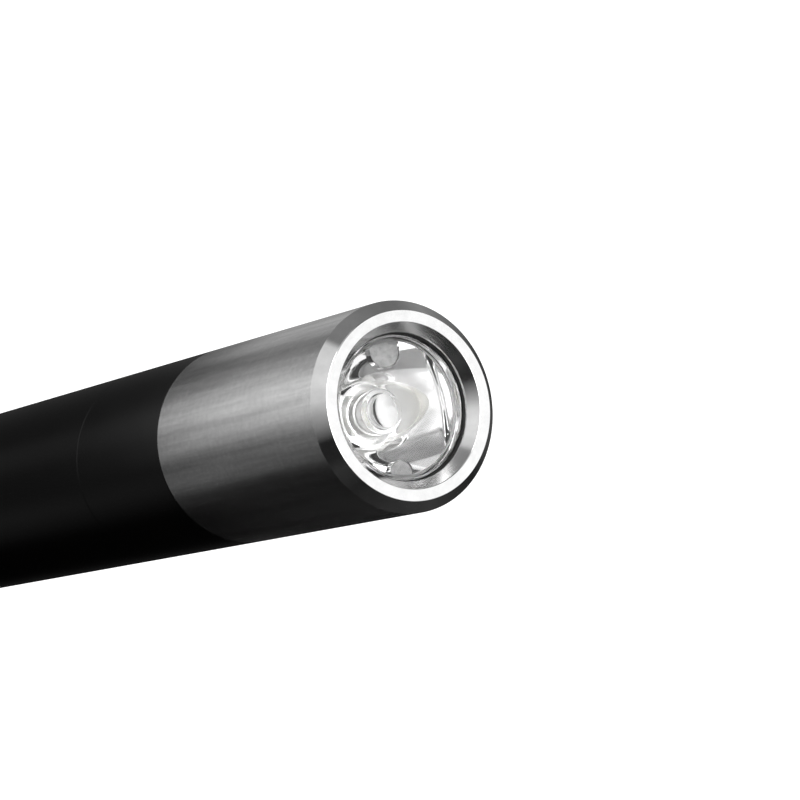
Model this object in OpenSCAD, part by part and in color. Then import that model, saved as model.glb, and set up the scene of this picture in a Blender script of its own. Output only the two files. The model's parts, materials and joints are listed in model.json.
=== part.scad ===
/* [Body] */
// Wall of each spigot, around the bore
spigot_wall = 0.8; // [0.7:0.05:1]
// Wall of each threaded skirt, outside its thread
skirt_wall = 0.8; // [0.65:0.05:1]
// Radial play between a spigot and its skirt
thread_play = 0.05; // [0.02:0.01:0.1]
// Length of the spigots at the two ends of the barrel
spigot_length = 6; // [5:0.25:8]
// Length of the collar's spigot inside the head
head_spigot_length = 8; // [6:0.25:10]
// Space inside the collar between the heat sink and the barrel
collar_room = 3.7; // [3:0.1:8]
// Space inside the tail cap between its brass ring and the barrel
cap_room = 3.15; // [2.5:0.05:8]
// Broken edge on either side of each seam
seam_edge = 0.05; // [0.02:0.01:0.15]

/* [Head] */
// Wall of the head around the optic
head_wall = 1.55; // [1.3:0.05:1.8]
// Radial width of the chamfer round the front edge
front_chamfer_w = 0.735; // [0.4:0.005:0.9]
// Depth of that chamfer along the body
front_chamfer_depth = 0.8; // [0.4:0.05:1.5]
// Radial width of the polished ring on the front face
face_ring_w = 0.785; // [0.5:0.005:0.9]
// Radial width of the countersink inside the ring
countersink_w = 0.41; // [0.2:0.01:0.5]
// Depth of the countersink
countersink_depth = 0.84; // [0.5:0.02:1.2]
// Thickness of the lip's edge that holds the gasket
lip_edge = 0.16; // [0.1:0.02:0.4]

/* [Optic] */
// Radial width of the optic's flange under the gasket
lens_flange_w = 0.65; // [0.5:0.05:0.9]
// Depth of the optic's dished front face below its rim
lens_dish = 0.36; // [0.1:0.02:0.5]
// Thickness of the flange
lens_flange_t = 1.1; // [0.8:0.1:1.6]
// Length of the collimator behind the flange
collimator_length = 5.2; // [4.5:0.1:6.5]
// Radial step from the optic's rim down to the collimator's wall
collimator_step = 0.15; // [0.05:0.05:0.4]
// Diameter of the collimator at its back
collimator_back_d = 4.1; // [3.6:0.1:4.6]
// Diameter of the pocket over the light source, at its step
lens_pocket_d = 3.1; // [2.7:0.1:3.2]
// Height of that step above the optic's back
lens_pocket_depth = 2.9; // [2.2:0.1:3]
// Diameter of the narrower end of the pocket, the circle that shows from the front
lens_core_d = 2.3; // [1.8:0.05:2.6]
// Depth of the whole pocket
lens_core_depth = 4; // [3.5:0.1:4.5]
// Width of the wide tongue that holds the optic from turning
long_tongue_w = 2.2; // [1.6:0.1:2.4]
// Length of that tongue from the head's wall towards the middle
long_tongue_reach = 2.7; // [2:0.1:2.9]
// Width of the narrow tongue opposite
short_tongue_w = 1.7; // [1:0.1:2]
// Length of the narrow tongue
short_tongue_reach = 2.05; // [1.4:0.05:2.4]
// Thickness of both tongues
tongue_t = 0.9; // [0.6:0.1:1.2]
// Turn of the optic from the clip's side to its wide tongue
tongue_turn = 95; // [0:5:180]
// Thickness of the gasket
gasket_t = 0.4; // [0.2:0.05:0.8]

/* [Light source and driver] */
// Thickness of the round board under the light source
led_board_t = 1; // [0.8:0.1:1.6]
// Side of the light source's square base
led_base_w = 2.6; // [2:0.1:3]
// Height of that base
led_base_t = 0.7; // [0.4:0.05:0.9]
// Diameter of the light source's dome
led_dome_d = 2.3; // [1.6:0.1:2.4]
// Length of the heat sink
sink_length = 15.5; // [14:0.25:18]
// Height of the heat sink's neck above its clamped flange
sink_neck = 3; // [2.6:0.1:5]
// Thickness of the heat sink's clamped flange
sink_flange_t = 1.5; // [1:0.1:2.5]
// Step in the collar's bore that the heat sink sits in
sink_step = 0.4; // [0.3:0.05:0.6]
// Wall of the heat sink's hollow part
sink_wall = 0.6; // [0.4:0.05:0.8]
// Thickness of the driver board
driver_board_t = 1; // [0.8:0.1:1.6]
// Height of the spring on the driver board, as fitted
front_spring_h = 5.65; // [4:0.05:8]

/* [Cells] */
// Diameter of a cell
cell_d = 10.2; // [9.8:0.1:12]
// Length of a cell with its raised terminal
cell_length = 44.5; // [40:0.5:50]
// Radial play of a cell in the barrel
cell_play = 0.25; // [0.15:0.05:0.4]
// Diameter of the raised terminal
nub_d = 3.8; // [3:0.1:5]
// Height of the raised terminal
nub_h = 0.9; // [0.6:0.1:1.4]

/* [Clip] */
// Height of the clip's band above the tail cap
clip_above_cap = 4; // [2:0.5:8]
// Height of the clip's band
clip_band_h = 5; // [4:0.5:8]
// Length of the clip's arm above the band
clip_arm_length = 36; // [28:1:40]
// Width of the arm
clip_arm_w = 4.6; // [3:0.1:6]
// Thickness of the clip's sheet
clip_sheet = 0.6; // [0.4:0.05:0.8]
// Space between the arm and the barrel
clip_standoff = 1.9; // [1.4:0.1:2.5]
// Space between the bend at the arm's tip and the barrel
clip_tip_gap = 0.85; // [0.3:0.05:1.2]
// Depth of the barrel's groove for the band
clip_groove_depth = 0.35; // [0.2:0.05:0.5]
// Width of the mouth in the band, as an angle
clip_mouth_angle = 80; // [50:5:120]

/* [Tail] */
// Wall of the tail cap around the switch
tail_wall = 1.6; // [1.4:0.1:1.8]
// Radial width of the seat that holds the button in
button_seat_w = 1.8; // [1.5:0.1:2.2]
// Distance that the button travels
button_travel = 1.5; // [1:0.1:2]
// Depth of the button's top below the tail face
button_recess = 0.3; // [0.1:0.05:0.8]
// Thickness of the lip that holds the button
tail_lip = 1.8; // [1.4:0.1:2.4]
// Length of the switch housing
switch_length = 7; // [6.5:0.1:8]
// Thickness of the plug that closes the switch housing
switch_base_t = 1.2; // [0.8:0.1:1.8]
// Thickness of the board that carries the tail spring
tail_board_t = 1; // [0.8:0.1:1.6]
// Height of the tail spring, as fitted
tail_spring_h = 6; // [5:0.25:8]
// Thickness of the brass ring that holds the switch
tail_ring_t = 1.5; // [1:0.1:2]
// Number of turned grip grooves
grip_grooves = 5; // [0:1:6]
// Width of a grip groove
grip_groove_w = 0.9; // [0.4:0.1:1.2]
// Depth of a grip groove
grip_groove_depth = 0.3; // [0.1:0.05:0.4]
// Distance from one grip groove to the next
grip_pitch = 2.1; // [1.5:0.1:2.3]
// Chamfer round the tail's edge
tail_chamfer = 0.6; // [0.2:0.1:1]

/* [Hidden] */
$fn = 96;
// One overrun serves every cut
overrun = 0.5;
// Radial play of a part that slides or turns in its hole
slide_play = 0.08;
// Gap between a moving part and the face it comes to rest on
rest_gap = 0.05;
// Play of a part that is dropped into its seat
seat_play = 0.05;

// Radii of the turned body, from the cell outwards
bore_r = cell_d / 2 + cell_play;
spigot_r = bore_r + spigot_wall;
skirt_r = spigot_r + thread_play;
body_r = skirt_r + skirt_wall;

// Depths below the front face
lip_depth = countersink_depth + lip_edge;
flange_depth = lip_depth + gasket_t;
collimator_depth = flange_depth + lens_flange_t;
lens_back_depth = collimator_depth + collimator_length;
led_top_gap = 0.1;
led_depth = lens_back_depth + led_top_gap;
board_depth = led_depth + led_base_t;
sink_depth = board_depth + led_board_t;
sink_bottom_depth = sink_depth + sink_length;
sink_flange_depth = sink_depth + sink_neck;
spigot_depth = sink_flange_depth + sink_flange_t;
head_length = spigot_depth + head_spigot_length;
collar_length = sink_bottom_depth + collar_room + spigot_length - head_length;
driver_ring_t = 1;
driver_depth = sink_bottom_depth - driver_ring_t - driver_board_t;
driver_back_depth = driver_depth + driver_board_t;

// Heights above the tail face
button_flange_t = 0.75;
switch_low = tail_lip + rest_gap + button_flange_t + button_travel + rest_gap;
switch_high = switch_low + switch_length;
tail_board_low = switch_high + switch_base_t;
tail_board_high = tail_board_low + tail_board_t;
tail_length = tail_board_high + tail_ring_t + cap_room + spigot_length;
cell_low = tail_board_high + tail_spring_h;
cell_middle = cell_low + cell_length;
cell_high = cell_middle + cell_length;
overall_length = cell_high + front_spring_h + driver_back_depth;
collar_high = overall_length - head_length;
barrel_high = collar_high - collar_length;
barrel_low = tail_length;
barrel_front_end = barrel_high + spigot_length;
barrel_back_end = barrel_low - spigot_length;

function below_face(depth) = overall_length - depth;

// Head sizes
face_outer_r = body_r - front_chamfer_w;
face_inner_r = face_outer_r - face_ring_w;
lip_r = face_inner_r - countersink_w;
pocket_r = body_r - head_wall;
lens_flange_r = pocket_r - seat_play;
lens_rim_r = lens_flange_r - lens_flange_w;
rim_flat = 0.1;
rim_bevel = 0.22;
rim_rise_share = 0.75;
rim_rise = gasket_t * rim_rise_share;
gasket_inner_r = lens_rim_r + seat_play;
front_r = lens_rim_r - collimator_step;
back_r = collimator_back_d / 2;
source_pocket_r = lens_pocket_d / 2;
pocket_taper = 0.05;
source_mouth_r = source_pocket_r + pocket_taper;
core_r = lens_core_d / 2;
core_taper = 0.03;
core_mouth_r = core_r + core_taper;
core_crown = 0.3;
curve_steps = 16;

// Heat sink and driver sizes
sink_bore_r = bore_r - sink_step;
sink_r = sink_bore_r - seat_play;
sink_cavity_r = sink_r - sink_wall;
sink_top_r = pocket_r - 2 * seat_play;
sink_flange_r = skirt_r - 2 * seat_play;
sink_top_t = 2.5;
driver_r = sink_r - sink_wall / 2;
driver_ring_w = 1.2;
driver_ring_r = driver_r - driver_ring_w;
wire_d = 0.8;
wire_from_wall = 0.8;
wire_reach = sink_cavity_r - wire_from_wall - wire_d / 2;
wire_play = 0.15;
part_margin = 0.5;

// Seal rings
seal_d = 0.4;
seal_groove_w = 0.6;
seal_from_shoulder = 0.8;

// Tail sizes
tail_bore_r = body_r - tail_wall;
button_r = tail_bore_r - button_seat_w;
button_flange_w = 1.1;
button_flange_r = button_r + button_flange_w;
button_crown = 0.25;
plunger_r = 1.4;
plunger_foot_r = 2.2;
plunger_foot_t = 0.8;
switch_wall = 1;
switch_side = 1.95;
switch_r = tail_bore_r - seat_play;
switch_cavity_r = switch_r - switch_side;
plunger_foot_low = switch_low + switch_wall + rest_gap;
contact_t = 0.4;
contact_gap = 1;
tail_ring_w = 0.6;
spring_wire_d = 0.6;
fine_wire_d = 0.35;
spring_turns = 4;

// Clip sizes
clip_low = barrel_low + clip_above_cap;
clip_high = clip_low + clip_band_h;
clip_tip = clip_high + clip_arm_length;
groove_play = 0.1;
groove_r = body_r - clip_groove_depth;
clip_inner_r = groove_r + slide_play;
clip_steps = 40;

// A turned tube between two heights
module tube(outer_r, inner_r, low, high) {
    translate([0, 0, low])
        difference() {
            cylinder(r = outer_r, h = high - low);
            translate([0, 0, -overrun]) cylinder(r = inner_r, h = high - low + 2 * overrun);
        }
}

// A solid disc between two heights
module disc(r, low, high) {
    translate([0, 0, low]) cylinder(r = r, h = high - low);
}

// A rubber seal ring that lies in a groove of a spigot
module seal_ring(height) {
    translate([0, 0, height])
        rotate_extrude()
            translate([spigot_r - seal_d / 2, 0]) circle(d = seal_d, $fn = 24);
}

// The groove that a seal ring lies in
module seal_groove(height) {
    tube(spigot_r + overrun, spigot_r - seal_d, height - seal_groove_w / 2, height + seal_groove_w / 2);
}

// A round wire wound upwards from z = 0, whose coil narrows from low_r to high_r
function coil_ring(share, low_r, high_r, wire, height, turns, sides) =
    let (turn = 360 * turns * share,
         coil_r = low_r + (high_r - low_r) * share,
         middle = wire / 2 + (height - wire) * share)
    [for (side = [0:sides - 1])
        let (round = 360 * side / sides, r = coil_r + wire / 2 * cos(round))
        [r * cos(turn), r * sin(turn), middle + wire / 2 * sin(round)]];

module coil(low_r, high_r, wire, height, turns) {
    sides = 6;
    rings_a_turn = 8;
    rings = turns * rings_a_turn;
    points = [for (ring = [0:rings]) each
        coil_ring(ring / rings, low_r, high_r, wire, height, turns, sides)];
    skin = [for (ring = [0:rings - 1], side = [0:sides - 1])
        let (a = ring * sides + side, b = ring * sides + (side + 1) % sides)
        each [[a, a + sides, b], [b, a + sides, b + sides]]];
    first = [for (side = [0:sides - 1]) side];
    last = [for (side = [0:sides - 1]) rings * sides + sides - 1 - side];
    polyhedron(points = points, faces = concat(skin, [first, last]), convexity = 6);
}

// Outline of the collimator's curved wall: a parabola from its back to its front, grown by gap
function collimator_wall(gap) = [for (step = [0:curve_steps])
    let (share = step / curve_steps,
         r = sqrt(pow(back_r, 2) + (pow(front_r, 2) - pow(back_r, 2)) * share))
    [r + gap, below_face(lens_back_depth) + collimator_length * share]];

// Shallow crown from the edge to the axis, its middle standing out by rise
function crown(r, z, rise) = [for (step = [0:curve_steps / 2])
    let (share = 2 * step / curve_steps)
    [r * (1 - share), z + rise * (1 - pow(1 - share, 2))]];

// A tongue with a round inner end, grown by play
module tongue(width, reach, play, low, high) {
    tongue_r = width / 2 + play;
    translate([pocket_r - reach + width / 2, 0, low]) {
        cylinder(r = tongue_r, h = high - low, $fn = 48);
        translate([0, -tongue_r, 0]) cube([reach - width / 2, 2 * tongue_r, high - low]);
    }
}

module tongues(play, low, high) {
    rotate([0, 0, tongue_turn]) tongue(long_tongue_w, long_tongue_reach, play, low, high);
    rotate([0, 0, tongue_turn + 180]) tongue(short_tongue_w, short_tongue_reach, play, low, high);
}

module head_bezel() {
    color("silver")
        rotate_extrude()
            polygon([
                [skirt_r, collar_high],
                [body_r - seam_edge, collar_high],
                [body_r, collar_high + seam_edge],
                [body_r, below_face(front_chamfer_depth)],
                [face_outer_r, overall_length],
                [face_inner_r, overall_length],
                [lip_r, below_face(countersink_depth)],
                [lip_r, below_face(lip_depth)],
                [pocket_r, below_face(lip_depth)],
                [pocket_r, below_face(sink_flange_depth)],
                [skirt_r, below_face(sink_flange_depth)]]);
}

module lens_gasket() {
    color("dimgray")
        tube(lens_flange_r, gasket_inner_r, below_face(flange_depth), below_face(lip_depth));
}

module tir_lens() {
    dish_z = below_face(flange_depth) + rim_rise - lens_dish;
    back_z = below_face(lens_back_depth);
    color("aliceblue")
        difference() {
            rotate_extrude()
                polygon(concat(
                    [[source_mouth_r, back_z]],
                    collimator_wall(0),
                    [[lens_flange_r, below_face(collimator_depth)],
                     [lens_flange_r, below_face(flange_depth)],
                     [lens_rim_r, below_face(flange_depth)],
                     [lens_rim_r, below_face(flange_depth) + rim_rise],
                     [lens_rim_r - rim_flat, below_face(flange_depth) + rim_rise],
                     [lens_rim_r - rim_flat - rim_bevel, dish_z],
                     [0, dish_z]],
                    [for (step = [0:curve_steps / 2])
                        crown(core_r, back_z + lens_core_depth, -core_crown)[curve_steps / 2 - step]],
                    [[core_mouth_r, back_z + lens_pocket_depth],
                     [source_pocket_r, back_z + lens_pocket_depth]]));
            tongues(seat_play, below_face(collimator_depth) - tongue_t - seat_play,
                    below_face(collimator_depth));
        }
}

module lens_holder() {
    holder_gap = 0.15;
    rim_z = below_face(collimator_depth);
    color("gainsboro") {
        rotate_extrude()
            polygon(concat(
                [[lens_flange_r, below_face(board_depth)],
                 [lens_flange_r, rim_z]],
                [for (step = [0:curve_steps]) collimator_wall(holder_gap)[curve_steps - step]],
                [[back_r + holder_gap, below_face(board_depth)]]));
        intersection() {
            tongues(0, rim_z - tongue_t, rim_z);
            disc(lens_flange_r - holder_gap, rim_z - tongue_t, rim_z);
        }
    }
}

module led_dome() {
    color("ivory")
        translate([0, 0, below_face(led_depth)])
            intersection() {
                sphere(d = led_dome_d);
                cylinder(d = 2 * led_dome_d, h = led_dome_d);
            }
}

module led_base() {
    color("white")
        translate([-led_base_w / 2, -led_base_w / 2, below_face(board_depth)])
            cube([led_base_w, led_base_w, led_base_t]);
}

// The two holes or wires on either side of the axis
module wire_pair(r, low, high) {
    for (side = [-1, 1])
        translate([0, side * wire_reach, low]) cylinder(r = r, h = high - low, $fn = 32);
}

module led_board() {
    color("lightgray")
        difference() {
            disc(sink_top_r, below_face(sink_depth), below_face(board_depth));
            wire_pair(wire_d / 2 + wire_play, below_face(sink_depth) - overrun,
                      below_face(board_depth) + overrun);
        }
}

module heat_sink() {
    driver_seat_z = below_face(driver_depth);
    color("burlywood")
        difference() {
            rotate_extrude()
                polygon([
                    [0, below_face(sink_depth)],
                    [sink_top_r, below_face(sink_depth)],
                    [sink_top_r, below_face(sink_flange_depth)],
                    [sink_flange_r, below_face(sink_flange_depth)],
                    [sink_flange_r, below_face(spigot_depth)],
                    [sink_r, below_face(spigot_depth)],
                    [sink_r, below_face(sink_bottom_depth)],
                    [driver_r + seat_play, below_face(sink_bottom_depth)],
                    [driver_r + seat_play, driver_seat_z],
                    [sink_cavity_r, driver_seat_z],
                    [sink_cavity_r, below_face(sink_depth + sink_top_t)],
                    [0, below_face(sink_depth + sink_top_t)]]);
            wire_pair(wire_d / 2 + wire_play, below_face(sink_depth + sink_top_t) - overrun,
                      below_face(sink_depth) + overrun);
        }
}

module lead_wires() {
    color("firebrick")
        wire_pair(wire_d / 2, below_face(driver_depth), below_face(board_depth));
}

module driver_board() {
    color("darkgreen")
        disc(driver_r, below_face(driver_back_depth), below_face(driver_depth));
}

module driver_parts() {
    chip = [2.4, 2.2, 1];
    coil_core_d = 3;
    coil_core_h = 1.8;
    capacitor = [1.6, 0.8, 0.8];
    translate([0, 0, below_face(driver_depth)]) {
        color("black")
            translate([part_margin - sink_cavity_r, -chip[1] / 2, 0]) cube(chip);
        color("dimgray")
            translate([sink_cavity_r - part_margin - coil_core_d / 2, 0, 0])
                cylinder(d = coil_core_d, h = coil_core_h);
        color("tan")
            translate([-capacitor[0], chip[1] / 2 + part_margin, 0]) cube(capacitor);
    }
}

module driver_ring() {
    color("goldenrod")
        tube(driver_r, driver_ring_r, below_face(sink_bottom_depth),
             below_face(driver_back_depth));
}

module front_contact_spring() {
    color("gold")
        translate([0, 0, cell_high + rest_gap])
            coil(nub_d / 2 - spring_wire_d / 2, driver_ring_r - spring_wire_d,
                 spring_wire_d, front_spring_h - rest_gap, spring_turns);
}

head_seal_z = collar_high + seal_from_shoulder;
collar_seal_z = barrel_high + seal_from_shoulder;
tail_seal_z = barrel_low - seal_from_shoulder;

module head_seal() {
    color("black") seal_ring(head_seal_z);
}

module collar_seal() {
    color("black") seal_ring(collar_seal_z);
}

module tail_seal() {
    color("black") seal_ring(tail_seal_z);
}

module head_collar() {
    sink_bore_low = below_face(sink_bottom_depth) - seat_play;
    color("black")
        difference() {
            rotate_extrude()
                polygon([
                    [skirt_r, barrel_high],
                    [body_r - seam_edge, barrel_high],
                    [body_r, barrel_high + seam_edge],
                    [body_r, collar_high - seam_edge],
                    [body_r - seam_edge, collar_high],
                    [spigot_r, collar_high],
                    [spigot_r, below_face(spigot_depth)],
                    [sink_bore_r, below_face(spigot_depth)],
                    [sink_bore_r, sink_bore_low],
                    [bore_r, sink_bore_low],
                    [bore_r, barrel_front_end + seat_play],
                    [skirt_r, barrel_front_end + seat_play]]);
            seal_groove(head_seal_z);
        }
}

module barrel() {
    color("black")
        difference() {
            rotate_extrude()
                polygon([
                    [bore_r, barrel_back_end],
                    [spigot_r, barrel_back_end],
                    [spigot_r, barrel_low],
                    [body_r - seam_edge, barrel_low],
                    [body_r, barrel_low + seam_edge],
                    [body_r, clip_low - groove_play],
                    [groove_r, clip_low - groove_play],
                    [groove_r, clip_high + groove_play],
                    [body_r, clip_high + groove_play],
                    [body_r, barrel_high - seam_edge],
                    [body_r - seam_edge, barrel_high],
                    [spigot_r, barrel_high],
                    [spigot_r, barrel_front_end],
                    [bore_r, barrel_front_end]]);
            seal_groove(collar_seal_z);
            seal_groove(tail_seal_z);
        }
}

jacket_t = 0.15;
shoulder_drop = 0.7;

module cell_can(low) {
    can_r = cell_d / 2 - jacket_t;
    shoulder_z = low + cell_length - nub_h;
    rotate_extrude()
        polygon([
            [0, low],
            [can_r - jacket_t, low],
            [can_r, low + jacket_t],
            [can_r, shoulder_z - shoulder_drop],
            [can_r - shoulder_drop, shoulder_z],
            [nub_d / 2, shoulder_z],
            [nub_d / 2, low + cell_length - jacket_t],
            [nub_d / 2 - jacket_t, low + cell_length],
            [0, low + cell_length]]);
}

module cell_jacket(low) {
    tube(cell_d / 2, cell_d / 2 - jacket_t, low + jacket_t,
         low + cell_length - nub_h - shoulder_drop);
}

module front_cell_can() {
    color("silver") cell_can(cell_middle);
}

module front_cell_jacket() {
    color("slategray") cell_jacket(cell_middle);
}

module rear_cell_can() {
    color("silver") cell_can(cell_low);
}

module rear_cell_jacket() {
    color("slategray") cell_jacket(cell_low);
}

// Smooth rise from 0 to 1
function ease(share) = let (s = min(1, max(0, share))) s * s * (3 - 2 * s);

// Distance of the arm's inner face from the axis, at a share of the way from the band to the tip
lift_share = 0.2;
dip_share = 0.86;
dip_width_share = 0.13;
function arm_inner(share) =
    let (dip = max(0, 1 - abs(share - dip_share) / dip_width_share))
    clip_inner_r + (body_r + clip_standoff - clip_inner_r) * ease(share / lift_share)
        - (clip_standoff - clip_tip_gap) * ease(dip);

module pocket_clip() {
    arm_low = clip_low;
    arm_high = clip_tip;
    inner_edge = [for (step = [0:clip_steps]) let (share = step / clip_steps)
        [arm_inner(share), arm_low + (arm_high - arm_low) * share]];
    outer_edge = [for (step = [0:clip_steps]) let (share = 1 - step / clip_steps)
        [arm_inner(share) + clip_sheet, arm_low + (arm_high - arm_low) * share]];
    color("gainsboro") {
        translate([0, 0, clip_low])
            rotate([0, 0, clip_mouth_angle / 2 - 180])
                rotate_extrude(angle = 360 - clip_mouth_angle)
                    translate([clip_inner_r, 0]) square([clip_sheet, clip_band_h]);
        intersection() {
            rotate([90, 0, 0])
                translate([0, 0, -clip_arm_w / 2])
                    linear_extrude(clip_arm_w) polygon(concat(inner_edge, outer_edge));
            rotate([90, 0, 90])
                linear_extrude(2 * body_r + clip_standoff) {
                    translate([-clip_arm_w / 2, arm_low])
                        square([clip_arm_w, arm_high - arm_low - clip_arm_w / 2]);
                    translate([0, arm_high - clip_arm_w / 2]) circle(d = clip_arm_w);
                }
        }
    }
}

module tail_spring() {
    coil_base_r = tail_bore_r - tail_ring_w - spring_wire_d;
    coil_tip_r = cell_d / 4;
    color("gold")
        translate([0, 0, tail_board_high + rest_gap])
            coil(coil_base_r, coil_tip_r, spring_wire_d, tail_spring_h - 2 * rest_gap, spring_turns);
}

module tail_ring() {
    color("goldenrod")
        tube(tail_bore_r, tail_bore_r - tail_ring_w, tail_board_high, tail_board_high + tail_ring_t);
}

module tail_board() {
    color("darkgreen") disc(tail_bore_r, tail_board_low, tail_board_high);
}

module switch_base() {
    color("black") {
        disc(switch_r, switch_high, tail_board_low);
        disc(switch_cavity_r, switch_high - contact_gap, switch_high);
    }
}

module switch_contact() {
    color("goldenrod")
        disc(plunger_foot_r, switch_high - contact_gap - contact_t, switch_high - contact_gap);
}

module switch_housing() {
    color("dimgray")
        rotate_extrude()
            polygon([
                [plunger_r + slide_play, switch_low],
                [switch_r, switch_low],
                [switch_r, switch_high],
                [switch_cavity_r, switch_high],
                [switch_cavity_r, switch_low + switch_wall],
                [plunger_r + slide_play, switch_low + switch_wall]]);
}

module switch_plunger() {
    color("white") {
        disc(plunger_r, tail_lip + rest_gap + button_flange_t, plunger_foot_low + plunger_foot_t);
        disc(plunger_foot_r, plunger_foot_low, plunger_foot_low + plunger_foot_t);
    }
}

module switch_spring() {
    spring_low = plunger_foot_low + plunger_foot_t;
    spring_high = switch_high - contact_gap - contact_t;
    color("silver")
        translate([0, 0, spring_low + rest_gap])
            coil(plunger_foot_r - fine_wire_d, plunger_foot_r - fine_wire_d, fine_wire_d,
                 spring_high - spring_low - 2 * rest_gap, spring_turns);
}

module tail_button() {
    flange_low = tail_lip + rest_gap;
    edge_z = button_recess + button_crown;
    color("black")
        rotate_extrude()
            polygon(concat(
                [[0, flange_low + button_flange_t],
                 [button_flange_r, flange_low + button_flange_t],
                 [button_flange_r, flange_low],
                 [button_r, flange_low]],
                crown(button_r, edge_z, -button_crown)));
}

module tail_cap() {
    grip_low = (tail_length - (grip_grooves - 1) * grip_pitch) / 2;
    button_hole_r = button_r + slide_play;
    skirt_low = tail_board_high + tail_ring_t;
    color("black")
        difference() {
            rotate_extrude()
                polygon([
                    [button_hole_r, 0],
                    [body_r - tail_chamfer, 0],
                    [body_r, tail_chamfer],
                    [body_r, tail_length - seam_edge],
                    [body_r - seam_edge, tail_length],
                    [skirt_r, tail_length],
                    [skirt_r, skirt_low],
                    [tail_bore_r, skirt_low],
                    [tail_bore_r, tail_lip],
                    [button_hole_r, tail_lip]]);
            for (groove = [0:1:grip_grooves - 1])
                tube(body_r + overrun, body_r - grip_groove_depth,
                     grip_low + groove * grip_pitch - grip_groove_w / 2,
                     grip_low + groove * grip_pitch + grip_groove_w / 2);
        }
}

head_bezel();
lens_gasket();
tir_lens();
lens_holder();
led_dome();
led_base();
led_board();
heat_sink();
lead_wires();
driver_board();
driver_parts();
driver_ring();
front_contact_spring();
head_seal();
head_collar();
collar_seal();
barrel();
front_cell_can();
front_cell_jacket();
rear_cell_can();
rear_cell_jacket();
pocket_clip();
tail_seal();
tail_spring();
tail_ring();
tail_board();
switch_base();
switch_contact();
switch_spring();
switch_housing();
switch_plunger();
tail_button();
tail_cap();
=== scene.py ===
import json
import math

import bpy
import numpy as np
from mathutils import Matrix, Vector


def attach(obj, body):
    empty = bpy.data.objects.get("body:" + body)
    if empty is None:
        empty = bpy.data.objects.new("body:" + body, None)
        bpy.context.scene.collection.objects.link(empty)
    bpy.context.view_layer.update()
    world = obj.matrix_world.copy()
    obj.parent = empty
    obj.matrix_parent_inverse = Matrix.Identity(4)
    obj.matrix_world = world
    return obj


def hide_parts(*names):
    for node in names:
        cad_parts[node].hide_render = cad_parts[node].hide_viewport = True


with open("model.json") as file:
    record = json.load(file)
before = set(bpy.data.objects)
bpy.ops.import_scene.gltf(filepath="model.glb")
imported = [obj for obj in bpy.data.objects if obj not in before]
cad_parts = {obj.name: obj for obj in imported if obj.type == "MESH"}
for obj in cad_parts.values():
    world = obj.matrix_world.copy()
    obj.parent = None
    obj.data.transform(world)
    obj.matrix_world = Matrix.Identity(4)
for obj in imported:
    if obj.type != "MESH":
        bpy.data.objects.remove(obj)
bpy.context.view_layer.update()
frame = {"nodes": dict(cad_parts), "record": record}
nodes = frame["nodes"]
scene = bpy.context.scene
scene.view_settings.view_transform = "Standard"
mm = 0.001
faceHeight = 138.0  # front face above the tail face, in mm
tiny = 1e-6  # points nearer than this, in mm, are one
print("frame loaded:", len(nodes), "nodes")

# camera and studio
cameraView = {
    "place": (-0.1046507, -0.0206140, 0.3012298),
    "right": (0.845359, -0.067934, 0.529861),
    "up": (0.0, 0.991881, 0.127171),
    "forward": (0.534198, 0.107505, -0.838496),
    "lens": 135.39,
    "sensor": 36.0,
    "shift": (-0.0012, 0.0003),
}


def placeCamera(view):
    data = bpy.data.cameras.new("photoCamera")
    data.lens = view["lens"]
    data.sensor_width = view["sensor"]
    data.shift_x, data.shift_y = view["shift"]
    data.clip_start = 0.01
    data.clip_end = 20
    camera = bpy.data.objects.new("photoCamera", data)
    scene.collection.objects.link(camera)
    turn = Matrix((view["right"], view["up"], [-part for part in view["forward"]])).transposed()
    camera.matrix_world = Matrix.Translation(Vector(view["place"])) @ turn.to_4x4()
    scene.camera = camera


studio = {
    "worldLevel": 0.42,
    "floorColour": (0.82, 0.82, 0.82, 1),
    "floorRoughness": 0.9,
    "floorSpecular": 0.1,
    "floorLift": 0.5,
    "floorSide": 1.6,
}
# each lamp: azimuth and elevation in degrees, seen from the head, distance and side lengths in metres, watts
lamps = {
    "keySoftbox": {"azimuth": 140, "elevation": 50, "distance": 0.55, "size": (0.36, 0.36),
                   "watts": 1.5},
    "fillSoftbox": {"azimuth": 20, "elevation": 62, "distance": 0.6, "size": (0.4, 0.4),
                    "watts": 0.2},
    "topSoftbox": {"azimuth": 140, "elevation": 85, "distance": 0.55, "size": (0.36, 0.36),
                   "watts": 1.7},
}
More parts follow.
